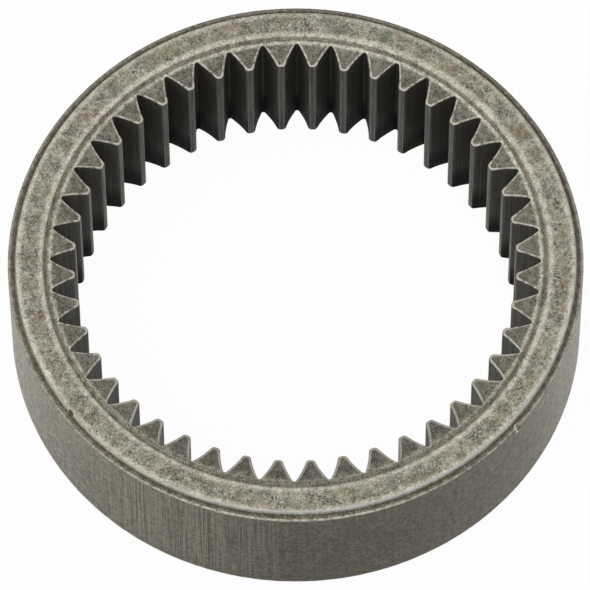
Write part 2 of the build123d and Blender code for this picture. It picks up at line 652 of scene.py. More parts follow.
@dataclass(frozen=True)
class PressedFace(Finish):
    """Band of a rim face: mottled grain, darkest in the middle, with burnished shoulders that carry
    painted light, and a painted reflection along its outer edge.
    """

    patch_size: float = 1.1
    grain_size: float = 0.24
    dark: Colour = steel(34, 31, 20)
    light: Colour = steel(188, 183, 166)
    rust: Colour = steel(124, 106, 84)
    rusted: Ramp = Ramp(0.5, 1.0)
    rust_share: float = 0.45
    moss: Colour = steel(108, 109, 90)
    mossed: Ramp = Ramp(0.4, 0.0)
    moss_share: float = 0.38
    waves: Waves = Waves(0.4, 61.0, 0.6)
    inner_shoulder: float = 30.26
    inner_reach: float = 0.62
    inner_side: float = -150.0
    inner_shift: float = 0.05
    # The shoulders are burnished by wear; how strongly they show on each side of the ring is
    # painted light, weaker towards the front.
    inner_wear_and_light: Lean = Lean(-100.0, 0.3, 1.0, 0.85, 0.70)
    outer_shoulder: float = 32.88
    outer_reach: float = 0.66
    outer_shift: float = -0.05
    widened: Lean = Lean(-176.0, 0.85, 1.0, 0.0, 0.08)
    front: float = -100.0
    outer_wear_and_light: tuple[float, float, float] = (0.98, -0.07, -0.42)  # by powers of the front
    breaks: float = 0.4
    worn_share: float = 0.9
    worn_and_shade_dark: Colour = steel(130, 125, 108)
    burnished: Colour = steel(220, 216, 202)
    glint: Colour = steel(230, 226, 212)
    glint_share: float = 0.6
    # Painted reflection along the band's outer edge: bluish white towards the right front, dimmed
    # with painted shade towards the left front.
    edge_sheen: Colour = steel(174, 175, 172)
    edge_sheen_place: Ramp = Ramp(32.90, 33.03)
    edge_sheen_waves: float = 0.4
    sheen_dimmed: Lean = Lean(-124.0, 0.80, 0.98, 0.0, 0.55)
    sheen_side: Lean = Lean(-60.0, 0.30, 0.80, 0.0, 0.85)
    roughness: Ramp = Ramp(0.0, 1.0, 0.64, 0.46)
    polish: float = 0.08

    def dress(self, coat: Coat) -> tuple[Socket, Socket]:
        """Lays grain over a mottled ground, burnishes the shoulders and paints light and shade that
        change round the ring.
        """
        ring, grain, tone = coat.ring, coat.grain, coat.tone
        coat.colour = coat.blend(tone, self.dark, self.light)
        rusted = coat.rise(grain["Tint"], *self.rusted)
        coat.lay(coat.times(rusted, self.rust_share), self.rust)
        mossed = coat.rise(grain["Tint"], *self.mossed)
        coat.lay(coat.times(mossed, self.moss_share), self.moss)

        swing = coat.swing(self.waves)
        waved = coat.plus(ring["Radius"], swing)
        place = coat.times_plus(coat.side(self.inner_side), self.inner_shift, waved)
        inner = coat.hump(place, self.inner_shoulder, self.inner_reach)
        # Wear, with painted light: less burnish shows towards the front.
        inner = coat.times(inner, coat.lean(self.inner_wear_and_light))
        front = coat.side(self.front)
        waved = coat.plus(ring["Punched"], swing)
        place = coat.times_plus(front, self.outer_shift, waved)
        place = coat.minus(place, coat.lean(self.widened))
        outer = coat.hump(place, self.outer_shoulder, self.outer_reach)
        even, across, square = self.outer_wear_and_light
        rubbed = coat.times_plus(coat.times(front, front), square, even)
        rubbed = coat.times_plus(front, across, rubbed)
        shoulder = coat.most(inner, coat.times(outer, rubbed))
        worn = coat.worn(self.breaks)
        bright = coat.most(shoulder, coat.times(worn["Mask"], self.worn_share))
        coat.lay(bright, coat.blend(tone, self.worn_and_shade_dark, self.burnished))
        coat.lay(coat.times(grain["Glints"], self.glint_share), self.glint)

        # Painted reflection on the outer edge, and painted shade that dims it on the left front.
        place = coat.times_plus(swing, self.edge_sheen_waves, ring["Punched"])
        edge_sheen = coat.rise(place, *self.edge_sheen_place)
        coat.lay(coat.times(edge_sheen, coat.lean(self.sheen_dimmed)), self.worn_and_shade_dark)
        coat.lay(coat.times(edge_sheen, coat.lean(self.sheen_side)), self.edge_sheen)
        self.strike(coat, worn["Blow Shade"])
        rough = coat.rise(tone, *self.roughness)
        return coat.minus(rough, coat.times(bright, self.polish)), grain["Relief"]


@dataclass(frozen=True)
class ToothEnd(Finish):
    """End face of the teeth: greyer than the band, lighter beside the groove and along its edge."""

    patch_size: float = 0.7
    depth: float = 0.025
    relief: float = 0.55
    dark: Colour = steel(27, 26, 19)
    light: Colour = steel(145, 142, 128)
    brown: Colour = steel(100, 92, 76)
    brown_share: float = 0.3
    waves: Waves = Waves(0.5, 67.0, 0.5)
    ridge_dark: Colour = steel(100, 95, 78)
    ridge: Colour = steel(236, 231, 216)
    ridge_radius: float = 29.13
    ridge_reach: float = 0.43
    rubbed_and_lit: Lean = Lean(95.0, -1.0, -0.1, 0.27, 0.78)
    edge: Colour = steel(200, 197, 187)
    breaks: float = 0.12
    break_size: float = 0.4
    front: float = -85.0
    turned: ClassVar[tuple[float, float]] = (0.35, 0.85)  # share of the front, where rims narrow
    flank: Ramp = Ramp(26.5, 27.1)
    flank_lean: Ramp = Ramp(*turned, 1.0, 0.3)
    narrow: Ramp = Ramp(*turned, 0.20, 0.10)
    narrow_flank: float = 0.60
    wide: Ramp = Ramp(*turned, 0.80, 0.70)
    wide_flank: float = 0.25
    fullest: Ramp = Ramp(*turned, 0.69, 0.42)
    root: Ramp = Ramp(28.95, 28.60, 0.4, 1.0)
    shade: Ramp = Ramp(0.6, 0.95, 0.0, 0.22)
    shade_place: Ramp = Ramp(28.6, 28.2)
    roughness: Ramp = Ramp(0.0, 1.0, 0.64, 0.48)
    polish: float = 0.15

    def dress(self, coat: Coat) -> tuple[Socket, Socket]:
        """Lays grain, a lighter ridge beside the groove and worn edges; the ridge and the edges
        carry painted light that changes round the ring.
        """
        ring, grain, tone = coat.ring, coat.grain, coat.tone
        coat.colour = coat.blend(tone, self.dark, self.light)
        coat.lay(coat.times(grain["Tint"], self.brown_share), self.brown)
        radius = coat.plus(ring["Radius"], coat.swing(self.waves))
        ridge = coat.hump(radius, self.ridge_radius, self.ridge_reach)
        crest = coat.blend(tone, self.ridge_dark, self.ridge)
        # The lighter ridge is partly rubbed metal and partly painted light: strongest at the back
        # and sides, weakest at the front.
        coat.lay(coat.times(ridge, coat.lean(self.rubbed_and_lit)), crest)

        worn = coat.worn(self.breaks, self.break_size)
        # The worn rims also carry a painted highlight, whose width and strength change round the
        # ring; it is weakest towards the front.
        front = coat.side(self.front)
        flank = coat.rise(ring["Radius"], *self.flank)
        flank = coat.times(flank, coat.rise(front, *self.flank_lean))
        narrow = coat.times_plus(flank, self.narrow_flank, coat.rise(front, *self.narrow))
        wide = coat.times_plus(flank, self.wide_flank, coat.rise(front, *self.wide))
        fullest = coat.rise(front, *self.fullest)
        rim = coat.rise(worn["Mask"], narrow, wide, 0.0, fullest)
        rim = coat.times(rim, coat.rise(ring["Radius"], *self.root))
        shade = coat.rise(front, *self.shade)
        coat.lay(coat.times(shade, coat.rise(radius, *self.shade_place)), self.dark)
        coat.lay(rim, self.edge)
        rough = coat.rise(tone, *self.roughness)
        return coat.minus(rough, coat.times(rim, self.polish)), grain["Relief"]


@dataclass(frozen=True)
class GrooveFinish(Finish):
    """Groove round the teeth: brown, with painted light towards one side and painted shade along
    its bottom.
    """

    patch_size: float = 1.1
    grain_size: float = 0.21
    depth: float = 0.02
    relief: float = 0.55
    darkness: Colour = steel(44, 40, 28)
    bare: Colour = steel(190, 183, 165)
    inside: Ramp = Ramp(29.85, 29.50, -0.03, 0.17)
    lit_side: Lean = Lean(50.0, -0.8, 1.0)
    rust: Colour = steel(122, 98, 78)
    rust_share: float = 0.22
    waves: Waves = Waves(0.35, 77.0, 0.4)
    line: Colour = steel(46, 42, 33)
    line_radius: float = 29.62
    line_reach: float = 0.10
    line_share: float = 0.35
    roughness: Ramp = Ramp(0.0, 1.0, 0.75, 0.58)

    def dress(self, coat: Coat) -> tuple[Socket, Socket]:
        """Breaks the brown ground with grain and bare spots, paints light towards one side and
        paints shade along the bottom.
        """
        radius = coat.ring["Radius"]
        # Painted light: the inner side of the groove is lighter towards one side of the ring.
        lit_share = coat.times(coat.lean(self.lit_side), coat.rise(radius, *self.inside))
        coat.colour = coat.blend(coat.plus(coat.tone, lit_share), self.darkness, self.bare)
        coat.lay(coat.times(coat.grain["Tint"], self.rust_share), self.rust)
        # Painted shade along the bottom of the groove.
        waved = coat.plus(radius, coat.swing(self.waves))
        line = coat.hump(waved, self.line_radius, self.line_reach)
        coat.lay(coat.times(line, self.line_share), self.line)
        return coat.rise(coat.tone, *self.roughness), coat.grain["Relief"]


@dataclass(frozen=True)
class LedgeFinish(Finish):
    """Step and ledge: a painted highlight at the top of the step, painted shade at its foot and
    towards the back, with a burr outside.
    """

    hollow_shade: Colour = steel(88, 84, 70)
    floor_dark: Colour = steel(20, 17, 9)
    floor_light: Colour = steel(158, 149, 129)
    # Painted shade on the ledge, darker towards the back.
    back_shade: Colour = steel(34, 31, 25)
    back_shade_share: Lean = Lean(90.0, -0.6, 0.4, 0.0, 0.38)
    waves: Waves = Waves(0.38, 71.0, 0.60, 4.0, 0.75)
    rim: Colour = steel(182, 179, 169)
    rim_place: Ramp = Ramp(33.69, 34.01)
    rubbed_and_lit: Lean = Lean(-125.0, -0.7, 0.6, 0.02, 0.50)
    scrape_place: Ramp = Ramp(33.78, 33.95)
    scraped_and_lit: Lean = Lean(-12.0, 0.72, 1.0, 0.0, 0.75)
    broken: Ramp = Ramp(0.2, 0.7, 0.4, 1.0)
    # Painted shade in the corner at the foot of the step, weaker on the left and right.
    foot: Colour = steel(60, 56, 45)
    foot_radius: float = 33.36
    foot_reach: float = 0.20
    foot_spread: float = 0.10
    spread_power: float = 4.0
    foot_share: Ramp = Ramp(0.75, 1.0, 0.85, 0.55)
    # Painted reflection at the top of the step, warmer towards the left.
    step_sheen_dark: Colour = steel(134, 133, 125)
    step: Colour = steel(212, 211, 206)
    step_height: float = 17.07
    step_reach: float = 0.17
    step_waves: float = 0.8
    warm_step_sheen: Colour = steel(206, 200, 183)
    warm_sheen_side: Lean = Lean(160.0, -0.3, 0.9, 0.0, 0.7)
    burr: Colour = steel(216, 211, 196)
    burr_amount: Lean = Lean(-93.0, 0.76, 0.97, 0.22, 1.0)
    breaks: float = 0.95
    break_size: float = 0.30
    roughness: Ramp = Ramp(0.0, 1.0, 0.66, 0.42)

    def dress(self, coat: Coat) -> tuple[Socket, Socket]:
        """Paints the step's highlight by height, the ledge's shade and rim by radius and side, and
        the burr by the wear of its edge.
        """
        ring, tone = coat.ring, coat.tone
        coat.colour = coat.blend(tone, self.floor_dark, self.floor_light)
        coat.lay(coat.lean(self.back_shade_share), self.back_shade)
        swing = coat.swing(self.waves)
        radius = coat.plus(ring["Radius"], swing)
        outside = coat.times(coat.rise(radius, *self.rim_place), coat.lean(self.rubbed_and_lit))
        scraped_and_lit = coat.times(coat.rise(radius, *self.scrape_place), coat.lean(self.scraped_and_lit))
        outside = coat.most(outside, scraped_and_lit)
        coat.lay(coat.times(outside, coat.rise(tone, *self.broken)), self.rim)

        # Painted shade at the foot of the step.
        beside = coat.math("ABSOLUTE", coat.side(0.0))
        spread = coat.times(coat.math("POWER", beside, self.spread_power), self.foot_spread)
        place = coat.minus(coat.plus(ring["Punched"], swing), spread)
        foot = coat.hump(place, self.foot_radius, self.foot_reach)
        coat.lay(coat.times(foot, coat.rise(beside, *self.foot_share)), self.foot)
        # Painted highlight over the upper part of the step, warmer towards the left.
        height = coat.times_plus(swing, self.step_waves, ring["Height"])
        low, high = self.step_height - self.step_reach, self.step_height + self.step_reach
        step = coat.rise(height, low, high)
        crest = coat.blend(tone, self.step_sheen_dark, self.step)
        coat.lay(step, coat.blend(coat.lean(self.warm_sheen_side), crest, self.warm_step_sheen))

        worn = coat.worn(self.breaks, self.break_size, coat.lean(self.burr_amount))
        coat.lay(worn["Mask"], self.burr)
        self.strike(coat, worn["Blow Shade"])
        smooth = coat.most(step, worn["Mask"])
        return coat.rise(smooth, *self.roughness), coat.grain["Relief"]


@dataclass(frozen=True)
class DrawnWall(Finish):
    """Outer wall: dark grey, drawn along the axis and streaked with brown on one side, with painted
    light towards its sides and its top.
    """

    patch_size: float = 0.6
    grain_size: float = 0.17
    depth: float = 0.02
    relief: float = 0.8
    dark: Colour = steel(20, 18, 13)
    light: Colour = steel(84, 80, 64)
    line_width: float = 0.065
    line_length: float = 18.0
    front_drawn: Lean = Lean(-112.0, 0.90, 0.995, 0.22, 1.0)
    back_drawn: Lean = Lean(90.0, 0.0, 0.3, 0.0, 0.55)
    patchy_drawn: float = 0.42
    drawn_tone: float = 1.35
    mottle_tone: float = 1.8
    calm: Lean = Lean(90.0, 0.0, 0.3, 1.0, 0.5)
    middle_tone: float = 0.40
    # Painted light on the wall: lighter towards the left front and towards the left and right sides
    # of the ring.
    painted_light: Colour = steel(132, 127, 112)
    sides_lit: Lean = Lean(-132.0, 0.72, 1.0, 0.0, 0.30)
    silhouette_light: Ramp = Ramp(0.80, 0.97, 0.0, 0.26)
    broken: Ramp = Ramp(0.0, 0.8, 0.2, 1.8)
    bright: Colour = steel(140, 136, 120)
    bright_share: float = 0.45
    line: Colour = steel(12, 11, 8)
    line_share: float = 0.95
    streak: Colour = steel(78, 60, 42)
    streak_width: float = 0.2
    streak_length: float = 14.0
    streaked: Lean = Lean(-95.0, 0.92, 0.99, 0.04, 0.25)
    # Painted light: the upper half of the wall is lighter, least so on the front right.
    rubbed_and_lit: Lean = Lean(-75.0, 0.9, 0.5, 0.05, 0.20)
    lit_height: Ramp = Ramp(8.0, 16.6)
    shaded: Lean = Lean(-62.0, 0.85, 1.0, 0.0, 0.14)
    shaded_height: Ramp = Ramp(4.0, 0.3, 0.0, 0.25)
    edge: Colour = steel(206, 202, 189)
    breaks: float = 0.7
    break_size: float = 0.4
    roughness: Ramp = Ramp(0.0, 0.8, 0.40, 0.28)
    raised: float = 0.8

    def dress(self, coat: Coat) -> tuple[Socket, Socket]:
        """Draws the die's lines over fine grain."""
        marks = coat.marks(self.line_width, self.line_length)
        patchy = coat.times(marks["Strength"], self.patchy_drawn)
        drawn = coat.most(coat.lean(self.front_drawn), patchy)
        drawn = coat.most(drawn, coat.lean(self.back_drawn))
        lines = coat.times(coat.minus(marks["Lines"], 0.5), drawn)
        mottle = coat.times_plus(coat.tone, self.mottle_tone, -self.mottle_tone / 2)
        mottle = coat.plus(coat.times(mottle, coat.lean(self.calm)), self.middle_tone)
        ground = coat.times_plus(lines, self.drawn_tone, mottle)
        coat.colour = coat.blend(ground, self.dark, self.light)

        # Painted light towards the left front and the left and right sides of the ring.
        scraped_and_lit = coat.rise(coat.math("ABSOLUTE", coat.side(0.0)), *self.silhouette_light)
        sides_lit = coat.plus(coat.lean(self.sides_lit), scraped_and_lit)
        coat.lay(coat.times(sides_lit, coat.rise(ground, *self.broken)), self.painted_light)
        bright = coat.times(drawn, self.bright_share)
        coat.lay(coat.times(marks["Bright"], bright), self.bright)
        coat.lay(coat.times(marks["Dark"], coat.times(drawn, self.line_share)), self.line)
        streaks = coat.marks(self.streak_width, self.streak_length)["Bright"]
        coat.lay(coat.times(streaks, coat.lean(self.streaked)), self.streak)
        height = coat.ring["Height"]
        # Painted light on the upper half of the wall.
        rubbed_and_lit = coat.times(coat.lean(self.rubbed_and_lit), coat.rise(height, *self.lit_height))
        coat.lay(rubbed_and_lit, self.painted_light)
        shaded = coat.most(coat.lean(self.shaded), coat.rise(height, *self.shaded_height))
        coat.lay(shaded, self.dark)

        worn = coat.worn(self.breaks, self.break_size)
        coat.lay(worn["Mask"], self.edge)
        self.strike(coat, worn["Blow Shade"])
        lines = coat.times(lines, self.raised)
        height = coat.times_plus(coat.grain["Relief"], self.raised, lines)
        return coat.rise(ground, *self.roughness), height


@dataclass(frozen=True)
class DarkFlank(Finish):
    """Flanks and roots of the teeth: painted nearly black for the shade between the teeth, with
    faint lines along the axis.
    """

    depth: float = 0.01
    relief: float = 0.4
    line_width: float = 0.18
    line_length: float = 14.0
    dark: Colour = steel(44, 42, 37)
    light: Colour = steel(74, 71, 63)
    deep_shade: Colour = steel(9, 9, 8)
    root: Ramp = Ramp(28.72, 28.92)
    root_shade_share: float = 0.22
    low: Ramp = Ramp(7.0, 1.8, 0.0, 0.85)
    edge: Colour = steel(138, 136, 128)
    wear: float = 0.8
    breaks: float = 0.4
    roughness: Ramp = Ramp(0.0, 1.0, 0.62, 0.50)
    low_rough: float = 0.35
    root_rough: float = 0.18

    def dress(self, coat: Coat) -> tuple[Socket, Socket]:
        """Draws faint lines on a ground of painted shade, darkest in the roots and at the lower
        end.
        """
        marks = coat.marks(self.line_width, self.line_length)
        ground = coat.times(coat.plus(marks["Lines"], coat.tone), 0.5)
        coat.colour = coat.blend(ground, self.dark, self.light)
        # Painted shade: darker in the roots and towards the lower end of the flanks.
        root = coat.rise(coat.ring["Radius"], *self.root)
        low = coat.rise(coat.ring["Height"], *self.low)
        coat.lay(coat.most(coat.times(root, self.root_shade_share), low), self.deep_shade)
        worn = coat.worn(self.breaks, amount=self.wear)
        coat.lay(worn["Mask"], self.edge)
        rough = coat.rise(ground, *self.roughness)
        rough = coat.times_plus(low, self.low_rough, rough)
        return coat.times_plus(root, self.root_rough, rough), ground


@dataclass(frozen=True)
class TipLand(Finish):
    """Narrow lands on the tips, grey, with a lighter line along both of their corners."""

    patch_size: float = 0.6
    grain_size: float = 0.18
    depth: float = 0.01
    relief: float = 0.4
    line_width: float = 0.09
    line_length: float = 4.0
    dark: Colour = steel(11, 11, 10)
    light: Colour = steel(78, 77, 73)
    line_tone: float = 0.45
    grain_tone: float = 0.55
    edge: Colour = steel(124, 123, 118)
    breaks: float = 0.7
    shaded: Lean = Lean(125.0, 0.5, 1.0, 0.0, 0.16)
    roughness: Ramp = Ramp(0.0, 1.0, 0.52, 0.38)

    def dress(self, coat: Coat) -> tuple[Socket, Socket]:
        """Draws lines along the land and lightens its corners."""
        marks = coat.marks(self.line_width, self.line_length)
        grains = coat.times(coat.tone, self.grain_tone)
        ground = coat.times_plus(marks["Lines"], self.line_tone, grains)
        coat.colour = coat.blend(ground, self.dark, self.light)
        worn = coat.worn(self.breaks)
        coat.lay(worn["Mask"], self.edge)
        coat.lay(coat.lean(self.shaded), self.dark)
        return coat.rise(ground, *self.roughness), ground


WARM: Colour = (0.98, 0.94, 0.83, 1.0)
GREY: Colour = (0.97, 0.96, 0.92, 1.0)
FINISHES: dict[Zone, Finish] = {
    Zone.PRESSED_FACE: PressedFace("pressed_face", metal=0.75),
    Zone.TOOTH_END: ToothEnd("tooth_end", metal=0.70),
    Zone.GROOVE: GrooveFinish("groove_shaded", metal=0.45),
    Zone.LEDGE: LedgeFinish("press_ledge", metal=0.65),
    Zone.OUTER_WALL: DrawnWall("drawn_wall", metal=0.55, gloss=0.3, tint=WARM),
    Zone.FLANK: DarkFlank("dark_flank", metal=0.22, gloss=0.18, tint=WARM),
    Zone.TIP_LAND: TipLand("tip_land", metal=0.70, gloss=0.3, tint=GREY),
}


# ---------------------------------------------------------------- forms


@dataclass(frozen=True)
class Outline:
    """Edge of the hollow over one pitch, seen along the axis, from one tooth's middle to the next.

    Fields:
        points: Places on the edge.
        outward: Directions from there into the metal.
        zones: Zone of the wall between each point and the next.
        corner: 1 on the corners of the tips, 0 elsewhere.
    """

    points: np.ndarray
    outward: np.ndarray
    zones: list[Zone]
    corner: np.ndarray


@dataclass(frozen=True)
class ToothForm:
    """Straight involute tooth of an internal gear."""

    count: int = 44
    module: float = 1.25
    pressure_angle: float = math.radians(25.0)
    tip_radius: float = 26.125
    root_radius: float = 29.0375
    root_round: float = 0.25
    tip_round: float = 0.45
    root_steps: int = 3
    flank_steps: int = 6
    corner_shares: tuple[float, ...] = (0.0, 0.28, 0.54, 0.71, 0.83)
    bright_corner: int = 3
    first_land_corner: int = 2
    land_steps: int = 2

    @property
    def half_pitch(self) -> float:
        """Angle from the middle of a space to the middle of a tooth."""
        return math.pi / self.count

    @property
    def base_radius(self) -> float:
        """Radius of the circle that the involute unwinds from."""
        return self.module * self.count / 2 * math.cos(self.pressure_angle)

    def slope(self, radius: float) -> float:
        """Angle between the flank and the line to the axis at a radius."""
        return math.acos(self.base_radius / radius)

    def flank_angle(self, radius: float) -> float:
        """Finds the flank.

        Args:
            radius: Distance from the axis.

        Returns:
            Angle from the middle of the space to the flank.
        """
        start, here = self.slope(self.root_radius - self.root_round), self.slope(radius)
        widest = self.root_round / self.base_radius + math.tan(start) - start
        return widest - (math.tan(here) - here)

    def outline(self) -> Outline:
        """Lays points along the edge of the hollow.

        Returns:
            The outline over one pitch, with the space in its middle.
        """
        root_centre = self.root_radius - self.root_round
        turn = math.pi / 2 - self.slope(root_centre)
        places: list[tuple[float, float, float]] = []
        for step in range(self.root_steps):
            angle = turn * step / self.root_steps
            along, across = self.polar(self.root_round, angle)
            places.append((root_centre + along, across, angle))

        corner_radius = self.tip_radius + self.tip_round
        corner_angle = self.flank_angle(corner_radius) + self.tip_round / self.base_radius
        centre_x, centre_y = self.polar(corner_radius, corner_angle)
        first = corner_angle - self.slope(corner_radius) + math.pi / 2
        along, across = self.polar(self.root_round, turn)
        outer = math.hypot(root_centre + along, across)
        along, across = self.polar(self.tip_round, first)
        inner = math.hypot(centre_x - along, centre_y - across)
        for step in range(self.flank_steps):
            radius = outer + (inner - outer) * step / self.flank_steps
            angle = self.flank_angle(radius)
            facing = angle - self.slope(radius) + math.pi / 2
            places.append((*self.polar(radius, angle), facing))
        for share in self.corner_shares:
            angle = first + (corner_angle - first) * share
            along, across = self.polar(self.tip_round, angle)
            places.append((centre_x - along, centre_y - across, angle))
        for step in range(self.land_steps + 1):
            angle = corner_angle + (self.half_pitch - corner_angle) * step / self.land_steps
            places.append((*self.polar(self.tip_radius, angle), angle))

        half = np.array(places)
        outward = np.stack([np.cos(half[:, 2]), np.sin(half[:, 2])], 1)
        flip = np.array([1.0, -1.0])
        start = self.root_steps + self.flank_steps
        land = start + self.first_land_corner
        kinds = [Zone.FLANK] * land + [Zone.TIP_LAND] * (len(half) - 1 - land)
        corner = np.zeros(len(half))
        corner[start + self.bright_corner] = 1.0
        return Outline(
            points=np.concatenate([half[:0:-1, :2] * flip, half[:, :2]]),
            outward=np.concatenate([outward[:0:-1] * flip, outward]),
            zones=kinds[::-1] + kinds,
            corner=np.concatenate([corner[:0:-1], corner]),
        )

    @staticmethod
    def polar(radius: float, angle: float) -> tuple[float, float]:
        """Point at a radius and an angle."""
        return (radius * math.cos(angle), radius * math.sin(angle))


@dataclass(frozen=True)
class Ring:
    """Circle of the rim's section.

    Fields:
        radius: Distance from the axis.
        sink: How far it lies below the band.
        zone: Zone of the surface between it and the next circle outwards.
        wear: How rubbed the surface is there.
        slack: How far the press left it uneven.
    """

    radius: float
    sink: float
    zone: Zone
    wear: float = 0.0
    slack: float = 0.0


@dataclass(frozen=True)
class EndForm:
    """One end of the ring, from the edge of the hollow to the outer wall.

    Fields:
        face: Height of the band.
        out: 1 for the upper end, -1 for the lower one.
        relief: Fall of the teeth from root to tip.
        rings: Circles of the section outside the roots.
        face_steps: Rows between the rim of a tooth and the first circle, as shares of the way.
        rubbed_rim: Rows along the rim of a tooth: distance from its edge, and how rubbed it is.
        rubbing: How much the end is rubbed as a whole.
        edge_round: Radius of the rim's edge.
        root_sink: How far the roots lie below the band.
        edge_slack: How far the press left the edge uneven.
    """

    face: float
    out: int
    relief: float
    rings: tuple[Ring, ...]
    face_steps: tuple[float, ...]
    rubbed_rim: tuple[tuple[float, float], ...]
    rubbing: float = 1.0
    edge_round: float = 0.10
    root_sink: float = 0.20
    edge_slack: float = 0.016

    def sink(self, radius: np.ndarray, teeth: ToothForm) -> np.ndarray:
        """Finds how far the ends of the teeth lie below the band.

        Args:
            radius: Distances from the axis.
            teeth: Form of the teeth.

        Returns:
            The depths.
        """
        first = self.rings[0]
        radii = [teeth.tip_radius, teeth.root_radius, first.radius]
        return np.interp(radius, radii, [self.root_sink + self.relief, self.root_sink, first.sink])


@dataclass
class Row:
    """Line of points across one pitch.

    Fields:
        points: Places of the points.
        zones: Zones of the surface between this row and the next, one for each step.
        wear: How rubbed the surface is at each point.
        slack: How uneven it is at each point.
    """

    points: np.ndarray
    zones: list[Zone]
    wear: np.ndarray
    slack: np.ndarray


@dataclass(frozen=True)
class Damage:
    """A blow that pushed the metal in and raised a lip round the hollow.

    Fields:
        name: What it is called in the log.
        turn: Direction in which it is seen from the axis.
        radius: Distance of its middle from the axis.
        height: Height of its middle.
        reach: Half its width round the ring, along the axis and across it.
        push: How far its middle went, outwards and upwards.
        lip: How far the rim of the hollow was raised, outwards and upwards.
        side: How much more of the lip stands on one side, from -1 to 1.
        edge: Width of the lip, in shares of the reach.
        darkness: How dark the hollow is painted, as shade.
        shine: How bright the lip is.
    """

    name: str
    turn: float
    radius: float
    height: float
    reach: tuple[float, float, float]
    push: tuple[float, float]
    lip: tuple[float, float]
    side: float = 0.0
    edge: float = 0.28
    darkness: float = 0.8
    shine: float = 0.9

    def local(self, points: np.ndarray) -> tuple[np.ndarray, np.ndarray]:
        """Measures points from the middle of the blow, in shares of its reach.

        Args:
            points: Places in millimetres.

        Returns:
            The shares round the ring, and the distances from the middle in shares.
        """
        away = np.arctan2(points[:, 1], points[:, 0]) - self.turn
        away = (away + math.pi) % (2 * math.pi) - math.pi
        along = away * self.radius / self.reach[0]
        up = (points[:, 2] - self.height) / self.reach[1]
        across = (np.hypot(points[:, 0], points[:, 1]) - self.radius) / self.reach[2]
        return along, np.sqrt(along**2 + up**2 + across**2)

    def marks(self, points: np.ndarray) -> tuple[np.ndarray, np.ndarray]:
        """Measures how deep in the hollow and how far up the lip points are.

        Args:
            points: Places in millimetres.

        Returns:
            The shares of the hollow and of the lip.
        """
        along, share = self.local(points)
        hollow = np.clip(1 - share**2, 0, None) ** 1.5
        rim = np.exp(-(((share - 1.05) / self.edge) ** 2)) * np.clip(1 - self.side * along, 0, 2)
        return hollow, rim

    def strike(self, points: np.ndarray) -> np.ndarray:
        """Moves the points that the blow moved.

        Args:
            points: Places in millimetres.

        Returns:
            The moved places.
        """
        hollow, rim = self.marks(points)
        outwards = hollow * self.push[0] + rim * self.lip[0]
        angle = np.arctan2(points[:, 1], points[:, 0])
        moved = points.copy()
        moved[:, 0] += np.cos(angle) * outwards
        moved[:, 1] += np.sin(angle) * outwards
        moved[:, 2] += hollow * self.push[1] + rim * self.lip[1]
        return moved


def rings(table: dict[Zone, tuple[tuple[float, ...], ...]]) -> tuple[Ring, ...]:
    """Makes circles from the radius, sink, wear and slack of those of each zone."""
    rows = [(zone, row) for zone, rows in table.items() for row in rows]
    return tuple(Ring(radius, sink, zone, *rest) for zone, (radius, sink, *rest) in rows)


RIDGE = ((29.33, 0.125), (29.42, 0.100))
UPPER_RINGS = rings(
    {
        Zone.TOOTH_END: RIDGE,
        Zone.GROOVE: (
            (29.48, 0.120), (29.55, 0.225), (29.63, 0.330), (29.69, 0.345), (29.75, 0.330),
            (29.83, 0.220),
        ),
        Zone.PRESSED_FACE: (
            (29.90, 0.105), (29.97, 0.040), (30.10, 0.010), (30.30, 0.000), (30.95, 0.000),
            (31.60, 0.000), (32.20, 0.000), (32.60, 0.004), (32.85, 0.030),
            (33.02, 0.085, 0.0, 0.01),
        ),
        Zone.LEDGE: (
            (33.12, 0.180, 0.0, 0.01), (33.18, 0.340, 0.0, 0.01), (33.24, 0.560, 0.0, 0.01),
            (33.30, 0.645, 0.0, 0.01), (33.38, 0.655, 0.0, 0.01), (33.60, 0.655, 0.0, 0.02),
            (33.76, 0.645, 0.2, 0.03), (33.83, 0.605, 1.0, 0.04), (33.89, 0.600, 0.8, 0.04),
            (33.96, 0.635, 0.1, 0.02), (34.05, 0.650, 0.0, 0.01), (34.0875, 0.665),
        ),
    }
)
LOWER_RINGS = rings(
    {
        Zone.TOOTH_END: RIDGE,
        Zone.GROOVE: ((29.63, 0.330), (29.75, 0.330)),
        Zone.PRESSED_FACE: ((29.92, 0.060), (30.20, 0.000), (32.70, 0.000), (33.00, 0.040)),
        Zone.LEDGE: (
            (33.13, 0.120), (33.24, 0.250), (33.34, 0.280), (33.88, 0.280, 0.3, 0.01),
            (34.02, 0.285, 0.35, 0.02), (34.0875, 0.30, 0.1, 0.02),
        ),
    }
)


def places(mesh: bpy.types.Mesh) -> np.ndarray:
    """Reads where the points of a mesh are.

    Args:
        mesh: The mesh.

    Returns:
        One row of coordinates for each point, in metres.
    """
    values = np.zeros(len(mesh.vertices) * 3, np.float32)
    mesh.vertices.foreach_get("co", values)
    return values.reshape(-1, 3)


def move(mesh: bpy.types.Mesh, points: np.ndarray) -> None:
    """Moves the points of a mesh to new places, given in metres."""
    mesh.vertices.foreach_set("co", points.astype(np.float32).ravel())
    mesh.update()


